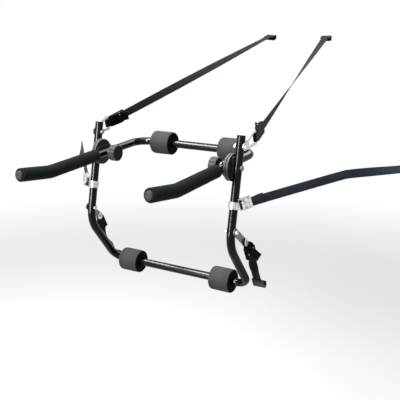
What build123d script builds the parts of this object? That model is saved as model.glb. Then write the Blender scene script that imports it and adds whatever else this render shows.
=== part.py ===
from build123d import *
from math import atan2, cos, degrees, radians, sin, sqrt
import os

# A strap-on rear bike rack: two bent tube frames that fold on toothed hubs, foam pads and sleeves,
# and six webbing straps with cam buckles that tie it to the panel it leans on.
# Millimetres. X is to the right seen from behind, Y points forward to the panel, Z is up.
# The origin is the middle of the lower cross bar. Angles are in degrees.

# Tube frames
tube_diameter = 25.0
tube_wall = 1.5
arm_half_spacing = 217.0
tubes_apart = 14.0
leg_length = 198.0
leg_slope = 38.0
upright_lean = 11.2
knee_radius = 90.0
lower_corner_radius = 40.0
upper_corner_radius = 45.0
top_bolt_above_knee = 287.0
upright_past_bolt = 29.0
hub_below_bolt = 61.0
upright_length = top_bolt_above_knee + upright_past_bolt
hub_above_knee = top_bolt_above_knee - hub_below_bolt
low_bolt_above_knee = 44.0
side_hook_above_knee = 119.0
bridge_reach = 179.0
bridge_slope = 3.8
arm_inner_length = 258.0
arm_outer_length = 118.0
arm_outer_rise = 6.2
arm_bend_radius = 120.0

# Clearances: a turning fit, a push fit, and the gap that pieces of two bodies keep
running_clearance = 0.08
seat_clearance = 0.05
body_gap = 0.3
overrun = 1.0

# Foam pads on the cross bars and foam sleeves on the arms
pad_diameter = 74.0
pad_length = 70.0
pad_edge_radius = 2.5
upper_pad_insets = {"left": 100.0, "right": 80.0}
lower_pad_insets = {"left": 75.0, "right": 89.0}
sleeve_diameter = 38.5
sleeve_start = 52.0
sleeve_edge_radius = 3.0

# End plugs
plug_stem_length = 15.0
cap_thickness = 2.5
cap_edge_radius = 1.2
dome_height = 6.5
dome_edge_radius = 5.5

# Toothed hub discs, their bolt, washer and hand knob
hub_disc_diameter = 80.0
hub_disc_edge_radius = 1.0
tooth_count = 36
tooth_height = 1.2
tooth_gap = 0.4
tooth_width = 3.0
tooth_slope = 30.0
tooth_ring_inner = 20.0
tooth_ring_outer = 38.5
saddle_length = 64.0
saddle_width = 40.0
saddle_depth = 7.0
saddle_corner_radius = 8.0
hub_bolt_diameter = 10.0
hub_head_diameter = 15.0
hub_head_height = 4.0
hub_head_edge_radius = 2.5
hub_head_skirt = 3.0
washer_diameter = 24.0
washer_thickness = 2.0
knob_diameter = 50.0
knob_depth = 24.0
knob_boss_diameter = 26.0
knob_boss_depth = 8.0
knob_flute_count = 12
knob_flute_diameter = 8.0
knob_flute_cut = 1.8
knob_edge_radius = 2.0
knob_recess_diameter = 35.0
knob_recess_depth = 1.0
insert_across_flats = 17.0
insert_depth = 9.0
knob_bolt_cavity = 15.0
knob_bolt_room = 0.8

# Through bolts that carry the strap links
strap_bolt_diameter = 8.0
hex_across_flats = 13.0
hex_head_height = 5.0
hex_edge = 0.6
nut_height = 4.8
bolt_end_past_nut = 0.4

# Plated links and the eyelet riveted in the lower ones
link_thickness = 3.0
link_boss_diameter = 22.0
top_link_length = 67.0
top_link_half_height = 24.0
top_link_bar = 8.0
top_link_corner_radius = 4.0
top_link_window_start = 24.0
lower_link_length = 70.0
lower_link_angle = -38.7
lower_link_end_diameter = 21.0
eyelet_diameter = 10.0
eyelet_bore = 6.0
eyelet_flange_diameter = 23.0
eyelet_flange_thickness = 1.2

# Webbing
strap_width = 26.0
strap_thickness = 1.6
sewn_lap_length = 32.0
sewn_lap_thickness = 3.2
side_lap_length = 28.0
side_lap_thickness = 3.8
tail_length = 10.0

# Cam buckles
buckle_inside = 28.0
cheek_thickness = 3.5
steel_thickness = 3.0
floor_gap = 0.3
buckle_edge_radius = 1.0
top_buckle_start = 10.0
top_buckle_exit = 74.0
lower_buckle_start = 12.0
lower_buckle_exit = 56.0
side_buckle_start = 12.0
side_buckle_exit = 47.0
cheek_above_pin = 4.6
cheek_crown = 8.0
anchor_length = 16.0
anchor_thickness = 11.0
anchor_width = 24.0
anchor_edge_radius = 2.0
bar_slack = 1.4
tongue_diameter = 21.0
tongue_thickness = 4.0
tongue_drop = 5.0
pin_diameter = 4.0
pin_from_exit = 24.0
drum_radius = 5.4
drum_reach = 6.0
drum_tooth_count = 5
drum_tooth_step = 12.0
drum_tooth_middle = 258.0
drum_tooth_width = 1.2
lever_thickness = 4.0
lever_tip_diameter = 5.5
top_lever_reach = 26.0
top_lever_rise = 30.0
lower_lever_reach = 29.0
lower_lever_rise = 42.0
side_lever_reach = 22.0
side_lever_rise = 12.0
spring_wire = 0.8
spring_turns = 4
spring_pitch = 1.2
spring_radius = 3.2
spring_leg = 21.0
exit_bar_length = 4.0

# Flat coated hooks
hook_thickness = 2.5
hook_width = 38.0
hook_bar = 6.0
hook_slot_length = 5.0
hook_slot_width = 28.0
hook_shank = 26.0
hook_bend_radius = 6.0
hook_turn = 165.0
hook_lip = 11.0
hook_corner_radius = 4.0

# The bend that hooks a side strap's steel fitting round the upright
fitting_strip_width = 21.0
fitting_strip_overlap = 6.0
fitting_tip = 7.0
fitting_facing = (0.665, -0.735, 0.146)

# Where the straps lead: the far hooks, and the edge that a side strap bends over
top_hook_place = (124.0, 867.5, 711.8)
top_strap_turn = 90.0
side_bend_place = (475.0, 99.0, 354.0)
side_hook_places = {"left": (640.0, 279.0, 254.0), "right": (640.0, 279.0, 354.0)}
side_strap_turn = 35.0
side_bend_run = 12.0
lower_strap_angle = -63.0
lower_strap_length = 156.0
lower_strap_turn = 90.0
strap_station_count = 8

# Worked out from the sizes above
tube_radius = tube_diameter / 2
tube_bore_radius = tube_radius - tube_wall
upright_half_spacing = arm_half_spacing + tube_diameter + tubes_apart
hub_middle = arm_half_spacing + (tube_diameter + tubes_apart) / 2
disc_depth = (tubes_apart - tooth_gap) / 2
hub_bolt_radius = hub_bolt_diameter / 2
hub_bore_radius = hub_bolt_radius + running_clearance
strap_bolt_radius = strap_bolt_diameter / 2
strap_bore_radius = strap_bolt_radius + running_clearance
eyelet_radius = eyelet_diameter / 2
upright_outside = upright_half_spacing + tube_radius
upright_inside = upright_half_spacing - tube_radius
link_inside = upright_outside + body_gap
link_outside = link_inside + link_thickness
link_middle = link_inside + link_thickness / 2
head_seat = link_outside + body_gap
washer_face = arm_half_spacing - tube_radius
knob_face = washer_face - washer_thickness - body_gap
tongue_middle = head_seat + tongue_thickness / 2
half_strap = strap_thickness / 2
floor_top = -half_strap - floor_gap
plastic_floor = floor_top - cheek_thickness
steel_floor = floor_top - steel_thickness
tongue_floor = -tongue_drop - tongue_thickness / 2
pin_radius = pin_diameter / 2
pin_height = half_strap + body_gap + drum_reach
cheek_top = pin_height + cheek_above_pin
exit_bar_bottom = half_strap + floor_gap
exit_bar_top = pin_height - spring_radius - spring_wire / 2
lever_width = buckle_inside - 2 * body_gap
spring_start = lever_width / 2 - spring_wire / 2 - spring_turns * spring_pitch
spring_room = spring_radius + spring_wire
drum_end = spring_start - spring_wire
webbing_off_tube = tube_radius + body_gap - steel_floor

sides = {"left": -1, "right": 1}


def onward(start, length, angle):
    """The (y, z) point a length away from start, at an angle up from forward."""
    return (start[0] + length * cos(radians(angle)), start[1] + length * sin(radians(angle)))


bar = (0.0, 0.0)
upright_angle = 90 - upright_lean
arm_angle = 180 - arm_outer_rise
knee = onward(bar, leg_length, 90 + leg_slope)
upright_top = onward(knee, upright_length, upright_angle)
hub = onward(knee, hub_above_knee, upright_angle)
top_bolt = onward(knee, top_bolt_above_knee, upright_angle)
low_bolt = onward(knee, low_bolt_above_knee, upright_angle)
side_seat = onward(knee, side_hook_above_knee, upright_angle)
bridge_bar = onward(hub, bridge_reach, bridge_slope)
arm_bend = onward(hub, arm_inner_length, 180 + bridge_slope)
arm_end = onward(arm_bend, arm_outer_length, arm_angle)
eyelet = onward(low_bolt, lower_link_length, lower_link_angle)
top_strap_angle = degrees(atan2(top_hook_place[2] - top_bolt[1], top_hook_place[1] - top_bolt[0]))
top_link_end = onward(top_bolt, top_link_length, top_strap_angle)

os.makedirs("parts", exist_ok=True)


def write(name, piece):
    """Labels a finished piece and writes it under its name."""
    piece.part.label = name
    export_step(piece.part, f"parts/{name}.step")


def along(angle):
    """The unit direction at an angle up from forward, in the plane of a frame's side."""
    return Vector(0, cos(radians(angle)), sin(radians(angle)))


def across_plane(x, point, angle=0.0, facing=1):
    """A plane square to the X axis at x, whose sketch x runs at an angle up from forward."""
    return Plane(origin=(x, *point), x_dir=along(angle), z_dir=(facing, 0, 0))


def outer_face(piece, plane):
    """The piece's face that lies furthest along the plane's normal."""
    return piece.faces().sort_by(lambda face: (face.center() - plane.origin).dot(plane.z_dir))[-1]


def bent_tube(points, bends, outer_radius, inner_radius):
    """A tube swept along straight runs joined by bends."""
    with BuildPart() as tube:
        with BuildLine() as route:
            FilletPolyline(*points, radius=bends)
        with BuildSketch(Plane(origin=route.line @ 0, z_dir=route.line % 0)):
            Circle(outer_radius)
            Circle(inner_radius, mode=Mode.SUBTRACT)
        sweep(path=route.line)
    return tube


# Lower frame: one bent tube, up one side, along the lower cross bar and up the other
lower_points = [(-upright_half_spacing, *upright_top), (-upright_half_spacing, *knee)]
lower_points += [(-upright_half_spacing, *bar), (upright_half_spacing, *bar)]
lower_points += [(upright_half_spacing, *knee), (upright_half_spacing, *upright_top)]
lower_bends = [knee_radius, lower_corner_radius, lower_corner_radius, knee_radius]
with BuildPart() as lower_frame_tube:
    add(bent_tube(lower_points, lower_bends, tube_radius, tube_bore_radius).part)
    with BuildSketch(across_plane(0, hub)):
        Circle(hub_bore_radius)
    with BuildSketch(across_plane(0, top_bolt), across_plane(0, low_bolt)):
        Circle(strap_bore_radius)
    extrude(amount=upright_outside + overrun, both=True, mode=Mode.SUBTRACT)
write("lower_frame_tube", lower_frame_tube)

# Arm frame: one bent tube, in along one arm, over the upper cross bar and out along the other
arm_points = [(-arm_half_spacing, *arm_end), (-arm_half_spacing, *arm_bend)]
arm_points += [(-arm_half_spacing, *bridge_bar), (arm_half_spacing, *bridge_bar)]
arm_points += [(arm_half_spacing, *arm_bend), (arm_half_spacing, *arm_end)]
arm_bends = [arm_bend_radius, upper_corner_radius, upper_corner_radius, arm_bend_radius]
with BuildPart() as arm_frame_tube:
    add(bent_tube(arm_points, arm_bends, tube_radius, tube_bore_radius).part)
    with BuildSketch(across_plane(0, hub)):
        Circle(hub_bore_radius)
    extrude(amount=arm_half_spacing + tube_diameter, both=True, mode=Mode.SUBTRACT)
write("arm_frame_tube", arm_frame_tube)


def foam_pad(x, point):
    """A thick foam roller pushed onto a cross bar."""
    with BuildPart() as pad:
        with BuildSketch(across_plane(x, point)):
            Circle(pad_diameter / 2)
            Circle(tube_radius + seat_clearance, mode=Mode.SUBTRACT)
        extrude(amount=pad_length / 2, both=True)
        rims = pad.edges().filter_by(lambda edge: edge.length > pad_diameter * 2)
        fillet(rims.filter_by(GeomType.CIRCLE), pad_edge_radius)
    return pad


def arm_sleeve(side):
    """A foam sleeve that follows the arm from near the hub to its end."""
    sleeve_points = [onward(hub, sleeve_start, 180 + bridge_slope), arm_bend, arm_end]
    route = [(side * arm_half_spacing, *point) for point in sleeve_points]
    with BuildPart() as sleeve:
        add(bent_tube(route, [arm_bend_radius], sleeve_diameter / 2, tube_radius + seat_clearance).part)
        ends = sleeve.faces().filter_by(GeomType.PLANE)
        rims = ends.edges().group_by(SortBy.LENGTH)[-1]
        fillet(rims, sleeve_edge_radius)
    return sleeve


def end_plug(seat, head_height, edge_radius):
    """A plug with a stem inside the tube's end and a rounded head over it."""
    with BuildPart() as plug:
        with BuildSketch(seat):
            Circle(tube_radius)
        extrude(amount=head_height)
        fillet(outer_face(plug, seat).edges(), edge_radius)
        with BuildSketch(seat):
            Circle(tube_bore_radius - seat_clearance)
        extrude(amount=-plug_stem_length)
    return plug


for name, side in sides.items():
    upper_place = side * (arm_half_spacing - upper_pad_insets[name])
    lower_place = side * (upright_half_spacing - lower_pad_insets[name])
    write(f"upper_pad_{name}", foam_pad(upper_place, bridge_bar))
    write(f"lower_pad_{name}", foam_pad(lower_place, bar))
    write(f"arm_sleeve_{name}", arm_sleeve(side))

with BuildPart() as upright_caps:
    for side in sides.values():
        seat = Plane(origin=(side * upright_half_spacing, *upright_top), z_dir=along(upright_angle))
        add(end_plug(seat, cap_thickness, cap_edge_radius).part)
write("upright_caps", upright_caps)

with BuildPart() as arm_end_plugs:
    for side in sides.values():
        seat = Plane(origin=(side * arm_half_spacing, *arm_end), z_dir=along(arm_angle))
        add(end_plug(seat, dome_height, dome_edge_radius).part)
write("arm_end_plugs", arm_end_plugs)


def hub_disc(side, facing, tube_spacing, angle):
    """A toothed disc whose back carries a saddle for the tube that it is fixed to.

    Facing is 1 when the saddle is on the outer side and -1 when it is on the inner side.
    """
    outward = side * facing
    tips = side * hub_middle + outward * tooth_gap / 2
    root = across_plane(tips + outward * tooth_height, hub, angle, outward)
    back = across_plane(tips + outward * disc_depth, hub, angle, outward)
    tube_axis = Plane(origin=(side * tube_spacing, *hub), z_dir=along(angle))
    with BuildPart() as disc:
        with BuildSketch(root):
            Circle(hub_disc_diameter / 2)
        extrude(amount=disc_depth - tooth_height)
        fillet(outer_face(disc, root).edges(), hub_disc_edge_radius)
        with BuildSketch(back):
            RectangleRounded(saddle_length, saddle_width, saddle_corner_radius)
        extrude(amount=saddle_depth)
        with BuildSketch(root):
            with PolarLocations((tooth_ring_inner + tooth_ring_outer) / 2, tooth_count):
                Rectangle(tooth_ring_outer - tooth_ring_inner, tooth_width)
        extrude(amount=-tooth_height, taper=tooth_slope)
        with BuildSketch(tube_axis):
            Circle(tube_radius + seat_clearance)
        extrude(amount=saddle_length, both=True, mode=Mode.SUBTRACT)
        with BuildSketch(root):
            Circle(hub_bore_radius)
        extrude(amount=disc_depth + saddle_depth, both=True, mode=Mode.SUBTRACT)
    return disc


def knob(side):
    """A fluted hand knob, with a hexagonal pocket in its boss and room for the bolt's end."""
    face = across_plane(side * knob_face, hub, 0, -side)
    shoulder = face.offset(knob_boss_depth)
    with BuildPart() as grip:
        with BuildSketch(shoulder):
            Circle(knob_diameter / 2)
        extrude(amount=knob_depth)
        fillet(grip.edges().filter_by(GeomType.CIRCLE), knob_edge_radius)
        with BuildSketch(shoulder):
            with PolarLocations((knob_diameter + knob_flute_diameter) / 2 - knob_flute_cut,
                                knob_flute_count):
                Circle(knob_flute_diameter / 2)
        extrude(amount=knob_depth, mode=Mode.SUBTRACT)
        with BuildSketch(shoulder.offset(knob_depth)):
            Circle(knob_recess_diameter / 2)
        extrude(amount=-knob_recess_depth, mode=Mode.SUBTRACT)
        with BuildSketch(face):
            Circle(knob_boss_diameter / 2)
        extrude(amount=knob_boss_depth)
        with BuildSketch(face):
            RegularPolygon(insert_across_flats / sqrt(3) + seat_clearance, 6)
        extrude(amount=insert_depth, mode=Mode.SUBTRACT)
        with BuildSketch(face):
            Circle(hub_bolt_radius + knob_bolt_room)
        extrude(amount=knob_bolt_cavity, mode=Mode.SUBTRACT)
    return grip


def knob_insert(side):
    """The metal hexagon moulded into a knob, which runs on the hub bolt."""
    with BuildPart() as insert:
        with BuildSketch(across_plane(side * knob_face, hub, 0, -side)):
            RegularPolygon(insert_across_flats / sqrt(3), 6)
            Circle(hub_bore_radius, mode=Mode.SUBTRACT)
        extrude(amount=insert_depth)
    return insert


for name, side in sides.items():
    write(f"outer_hub_disc_{name}", hub_disc(side, 1, upright_half_spacing, upright_angle))
    write(f"inner_hub_disc_{name}", hub_disc(side, -1, arm_half_spacing, bridge_slope))
    write(f"knob_{name}", knob(side))
    write(f"knob_insert_{name}", knob_insert(side))

hub_bolt_end = knob_face - knob_bolt_cavity + overrun


def hub_bolt(side):
    """A long bolt whose domed head has a skirt that saddles the upright."""
    seat = across_plane(side * upright_outside, hub, 0, side)
    with BuildPart() as bolt:
        with BuildSketch(seat.offset(-hub_head_skirt)):
            Circle(hub_head_diameter / 2)
        extrude(amount=hub_head_skirt + hub_head_height)
        fillet(outer_face(bolt, seat).edges(), hub_head_edge_radius)
        with BuildSketch(Plane(origin=(side * upright_half_spacing, *hub), z_dir=along(upright_angle))):
            Circle(tube_radius + seat_clearance)
        extrude(amount=hub_head_diameter, both=True, mode=Mode.SUBTRACT)
        with BuildSketch(seat.offset(hub_head_height / 2)):
            Circle(hub_bolt_radius)
        extrude(amount=hub_bolt_end - upright_outside - hub_head_height / 2)
    return bolt


with BuildPart() as hub_bolts:
    for side in sides.values():
        add(hub_bolt(side).part)
write("hub_bolts", hub_bolts)

with BuildPart() as hub_washers:
    for side in sides.values():
        with BuildSketch(across_plane(side * washer_face, hub, 0, -side)):
            Circle(washer_diameter / 2)
            Circle(hub_bore_radius, mode=Mode.SUBTRACT)
        extrude(amount=washer_thickness)
write("hub_washers", hub_washers)

strap_bolt_end = upright_inside - nut_height - bolt_end_past_nut


def strap_bolt(side, point):
    """A hex bolt whose head holds a strap's link against the upright."""
    seat = across_plane(side * head_seat, point, upright_angle, side)
    with BuildPart() as bolt:
        with BuildSketch(seat):
            RegularPolygon(hex_across_flats / sqrt(3), 6)
        extrude(amount=hex_head_height)
        chamfer(outer_face(bolt, seat).edges(), hex_edge)
        with BuildSketch(seat):
            Circle(strap_bolt_radius)
        extrude(amount=strap_bolt_end - head_seat)
    return bolt


with BuildPart() as strap_bolts:
    for side in sides.values():
        for point in (top_bolt, low_bolt):
            add(strap_bolt(side, point).part)
write("strap_bolts", strap_bolts)

with BuildPart() as strap_nuts:
    for side in sides.values():
        for point in (top_bolt, low_bolt):
            with BuildSketch(across_plane(side * upright_inside, point, upright_angle, -side)):
                RegularPolygon(hex_across_flats / sqrt(3), 6)
                Circle(strap_bolt_radius + seat_clearance, mode=Mode.SUBTRACT)
            extrude(amount=nut_height)
write("strap_nuts", strap_nuts)


def top_link(side):
    """A flat triangular link: its apex turns on the top bolt, its far bar carries the buckle."""
    corner_along = top_link_length + top_link_bar / 2 - top_link_corner_radius
    corner_up = top_link_half_height - top_link_corner_radius
    plate = across_plane(side * link_inside, top_bolt, top_strap_angle, side)
    window_end = top_link_length - top_link_bar / 2
    with BuildSketch(plate) as outline:
        Circle(link_boss_diameter / 2)
        with Locations((corner_along, corner_up), (corner_along, -corner_up)):
            Circle(top_link_corner_radius)
        make_hull()
    with BuildSketch(plate) as window:
        add(outline.sketch_local)
        offset(amount=-top_link_bar, mode=Mode.REPLACE)
        with Locations(((top_link_window_start + window_end) / 2, 0)):
            Rectangle(window_end - top_link_window_start, 2 * top_link_half_height, mode=Mode.INTERSECT)
    with BuildPart() as link:
        extrude(outline.sketch, amount=link_thickness)
        extrude(window.sketch, amount=link_thickness, mode=Mode.SUBTRACT)
        with BuildSketch(plate):
            Circle(strap_bore_radius)
        extrude(amount=link_thickness, mode=Mode.SUBTRACT)
    return link


def lower_link(side):
    """A straight link plate from the low bolt to the eyelet's hole."""
    plate = across_plane(side * link_inside, low_bolt, lower_link_angle, side)
    with BuildPart() as link:
        with BuildSketch(plate):
            Circle(link_boss_diameter / 2)
            with Locations((lower_link_length, 0)):
                Circle(lower_link_end_diameter / 2)
            make_hull()
            Circle(strap_bore_radius, mode=Mode.SUBTRACT)
            with Locations((lower_link_length, 0)):
                Circle(eyelet_radius + seat_clearance, mode=Mode.SUBTRACT)
        extrude(amount=link_thickness)
    return link


def lower_eyelet(side):
    """A tubular rivet with a flange at each end, through the link plate and the buckle's tongue."""
    barrel_length = tongue_middle + tongue_thickness / 2 + body_gap - link_inside
    inner = across_plane(side * link_inside, eyelet, 0, side)
    with BuildPart() as rivet:
        with BuildSketch(inner):
            Circle(eyelet_radius)
        extrude(amount=barrel_length)
        with BuildSketch(inner, inner.offset(barrel_length + eyelet_flange_thickness)):
            Circle(eyelet_flange_diameter / 2)
        extrude(amount=-eyelet_flange_thickness)
        with BuildSketch(inner):
            Circle(eyelet_bore / 2)
        extrude(amount=2 * barrel_length, both=True, mode=Mode.SUBTRACT)
    return rivet


def strap_frame(start, end, facing):
    """A strap's own frame: x runs from start to end, and z is as near to facing as that allows."""
    ahead = (Vector(*end) - Vector(*start)).normalized()
    lift = Vector(*facing) - ahead * Vector(*facing).dot(ahead)
    return Plane(origin=start, x_dir=ahead, z_dir=lift.normalized())


def side_plane(frame, across=0.0):
    """The plane through a strap frame's length and thickness: sketch x along, sketch y up."""
    return Plane(origin=frame.from_local_coords((0, across, 0)), x_dir=frame.x_dir, z_dir=-frame.y_dir)


def pitched(frame, rise):
    """The same strap frame pitched up about its own width."""
    ahead = frame.x_dir * cos(radians(rise)) + frame.z_dir * sin(radians(rise))
    return Plane(origin=frame.origin, x_dir=ahead, z_dir=ahead.cross(frame.y_dir))


def shifted(frame, ahead=0.0, up=0.0):
    """The same strap frame with its origin moved along the strap and up from it."""
    return Plane(origin=frame.from_local_coords((ahead, 0, up)), x_dir=frame.x_dir, z_dir=frame.z_dir)


def round_upright(frame):
    """The same strap frame turned in its own plane until its width runs along the upright."""
    tube_axis = along(upright_angle)
    width = (tube_axis - frame.z_dir * tube_axis.dot(frame.z_dir)).normalized()
    ahead = (frame.x_dir - width * frame.x_dir.dot(width)).normalized()
    return Plane(origin=frame.origin, x_dir=ahead, z_dir=frame.z_dir)


def station(frame, ahead, turn=0.0):
    """The plane square to a strap at a place along it, its sketch x along the webbing's width."""
    width = frame.y_dir * cos(radians(turn)) + frame.z_dir * sin(radians(turn))
    return Plane(origin=frame.from_local_coords((ahead, 0, 0)), x_dir=width, z_dir=frame.x_dir)


def turned(frame, ahead, turn):
    """The strap frame at a place along it, turned about the strap with the webbing."""
    lift = frame.z_dir * cos(radians(turn)) - frame.y_dir * sin(radians(turn))
    return Plane(origin=frame.from_local_coords((ahead, 0, 0)), x_dir=frame.x_dir, z_dir=lift)


def cheeks(frame, start, exit_end, floor, thickness):
    """The channel of a cam buckle: a floor, two cheeks with a hole for the pin, and an exit bar."""
    pin_along = exit_end - pin_from_exit
    with BuildPart() as channel:
        with BuildSketch(side_plane(frame)):
            with BuildLine():
                Polyline((start, floor), (exit_end, floor), (exit_end, exit_bar_top),
                         (pin_along + cheek_crown, cheek_top), (pin_along - cheek_crown, cheek_top),
                         (start, exit_bar_top), close=True)
            make_face()
        extrude(amount=buckle_inside / 2 + thickness, both=True)
        fillet(channel.edges().filter_by(Axis(frame.origin, frame.y_dir)).group_by(
            lambda edge: round((edge.center() - frame.origin).dot(frame.z_dir), 2))[-1], cheek_crown / 2)
        with BuildSketch(side_plane(frame)):
            with Locations(((start + exit_end) / 2, (floor_top + cheek_top + overrun) / 2)):
                Rectangle(exit_end - start + 2 * overrun, cheek_top + overrun - floor_top)
        extrude(amount=buckle_inside / 2, both=True, mode=Mode.SUBTRACT)
        with BuildSketch(side_plane(frame)):
            with Locations((exit_end - exit_bar_length / 2, (exit_bar_bottom + exit_bar_top) / 2)):
                Rectangle(exit_bar_length, exit_bar_top - exit_bar_bottom)
        extrude(amount=buckle_inside / 2 + thickness, both=True)
        with BuildSketch(side_plane(shifted(frame, pin_along, pin_height))):
            Circle(pin_radius + seat_clearance)
        extrude(amount=buckle_inside, both=True, mode=Mode.SUBTRACT)
    return channel


def cam_lever(frame, exit_end, reach, rise):
    """A cam lever: a toothed drum on the pin, and a thumb tab that rises towards the exit."""
    axle = shifted(frame, exit_end - pin_from_exit, pin_height)
    tab = side_plane(pitched(axle, rise))
    with BuildPart() as lever:
        with BuildSketch(tab):
            with Locations((reach / 2, 0)):
                Rectangle(reach, lever_thickness)
            with Locations((reach, 0)):
                Circle(lever_tip_diameter / 2)
        extrude(amount=lever_width / 2, both=True)
        with BuildSketch(side_plane(axle, drum_end)):
            Circle(drum_radius)
            for index in range(drum_tooth_count):
                bearing = drum_tooth_middle + (index - (drum_tooth_count - 1) / 2) * drum_tooth_step
                with PolarLocations(drum_radius, 1, start_angle=bearing):
                    RegularPolygon(drum_tooth_width / 2, 3)
        extrude(amount=drum_end + lever_width / 2)
        with BuildSketch(side_plane(axle, lever_width)):
            Circle(spring_room)
        extrude(amount=lever_width - drum_end, mode=Mode.SUBTRACT)
        with BuildSketch(side_plane(axle)):
            Circle(pin_radius + running_clearance)
        extrude(amount=lever_width, both=True, mode=Mode.SUBTRACT)
    return lever


def pin_and_spring(frame, exit_end, thickness):
    """The pin that a lever turns on, and its coil spring, one leg of which rests on the exit bar."""
    axle = shifted(frame, exit_end - pin_from_exit, pin_height)
    coil_height = spring_turns * spring_pitch
    coil_seat = Plane(origin=axle.from_local_coords((0, spring_start, 0)),
                      x_dir=-axle.z_dir, z_dir=axle.y_dir)
    with BuildPart() as coil:
        with BuildLine() as helix:
            Helix(spring_pitch, coil_height, spring_radius)
        with BuildSketch(Plane(origin=helix.line @ 0, z_dir=helix.line % 0)):
            Circle(spring_wire / 2)
        sweep(path=helix.line, is_frenet=True)
        with BuildSketch(Plane(origin=(spring_radius, 0, 0), z_dir=(0, -1, 0))):
            Circle(spring_wire / 2)
        extrude(amount=spring_leg)
    with BuildPart() as pair:
        with BuildSketch(side_plane(axle)):
            Circle(pin_radius)
        extrude(amount=buckle_inside / 2 + thickness, both=True)
        add(coil.part.moved(coil_seat.location))
    return pair


def flat_hook(seat):
    """A coated strip hook. Seat is the strap's frame at its slotted bar; the bend goes down."""
    with BuildPart() as hook:
        with BuildSketch(side_plane(seat)):
            with BuildLine():
                shank = Line((-hook_bar / 2, 0), (hook_shank, 0))
                bend = JernArc(shank @ 1, shank % 1, hook_bend_radius + hook_thickness / 2, -hook_turn)
                Line(bend @ 1, bend @ 1 + hook_lip * (bend % 1))
            trace(line_width=hook_thickness)
        extrude(amount=hook_width / 2, both=True)
        fillet(hook.edges().group_by(SortBy.LENGTH)[0], hook_corner_radius)
        with BuildSketch(seat):
            with Locations(((hook_bar + hook_slot_length) / 2, 0)):
                Rectangle(hook_slot_length, hook_slot_width)
        extrude(amount=hook_thickness, both=True, mode=Mode.SUBTRACT)
    return hook


def hook_loop(seat):
    """The webbing's sewn end: a lap behind the hook's slot, and a loop through it round the bar."""
    inner_along = hook_bar + 2 * body_gap
    inner_up = hook_thickness + 2 * body_gap
    lap_end = -inner_along / 2
    with BuildPart() as loop:
        with BuildSketch(side_plane(seat)):
            RectangleRounded(inner_along + 2 * strap_thickness, inner_up + 2 * strap_thickness,
                             strap_thickness)
            Rectangle(inner_along, inner_up, mode=Mode.SUBTRACT)
        extrude(amount=strap_width / 2, both=True)
        with BuildSketch(side_plane(seat)):
            with Locations((lap_end - strap_thickness / 2 - sewn_lap_length / 2, 0)):
                Rectangle(sewn_lap_length, sewn_lap_thickness)
        extrude(amount=strap_width / 2, both=True)
    return loop


def webbing(frame, tail_start, stations, seat):
    """Flat webbing from inside the buckle, through the stations, to its sewn end at seat."""
    with BuildPart() as strap:
        for place in stations:
            with BuildSketch(place):
                Rectangle(strap_width, strap_thickness)
        loft(ruled=True)
        with BuildSketch(side_plane(frame)):
            with Locations(((tail_start + frame.to_local_coords(stations[0].origin).X) / 2, 0)):
                Rectangle(frame.to_local_coords(stations[0].origin).X - tail_start, strap_thickness)
        extrude(amount=strap_width / 2, both=True)
        add(hook_loop(seat).part)
    return strap


def spread(frame, start, end, turn_start, turn_end, count):
    """Stations at even steps along a strap, turning evenly from one angle to the other."""
    shares = [index / (count - 1) for index in range(count)]
    return [station(frame, start + (end - start) * share, turn_start + (turn_end - turn_start) * share)
            for share in shares]


lap_room = hook_bar / 2 + body_gap + sewn_lap_length

# Top straps: a link on the top bolt, a buckle on the link's bar, and webbing that makes a quarter turn
for name, side in sides.items():
    bar_place = (side * link_middle, *top_link_end)
    hook_place = (side * top_hook_place[0], top_hook_place[1], top_hook_place[2])
    frame = strap_frame(bar_place, hook_place, (-side, 0, 0))
    hook_distance = (Vector(*hook_place) - Vector(*bar_place)).length
    hook_seat = turned(frame, hook_distance, side * top_strap_turn)
    with BuildPart() as top_buckle:
        add(cheeks(frame, top_buckle_start, top_buckle_exit, plastic_floor, cheek_thickness).part)
        with BuildSketch(side_plane(frame)):
            with Locations(((top_buckle_start + overrun - anchor_length / 2) / 2, 0)):
                RectangleRounded(top_buckle_start + overrun + anchor_length / 2, anchor_thickness,
                                 anchor_edge_radius)
            Rectangle(top_link_bar + bar_slack, link_thickness + bar_slack, mode=Mode.SUBTRACT)
        extrude(amount=anchor_width / 2, both=True)
    route = spread(frame, top_buckle_exit, hook_distance - lap_room, 0, side * top_strap_turn,
                   strap_station_count)
    write(f"top_link_{name}", top_link(side))
    write(f"top_buckle_{name}", top_buckle)
    write(f"top_lever_{name}", cam_lever(frame, top_buckle_exit, top_lever_reach, top_lever_rise))
    write(f"top_pin_{name}", pin_and_spring(frame, top_buckle_exit, cheek_thickness))
    write(f"top_webbing_{name}", webbing(frame, top_buckle_exit - pin_from_exit - tail_length, route,
                                         hook_seat))
    write(f"top_hook_{name}", flat_hook(hook_seat))

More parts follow.
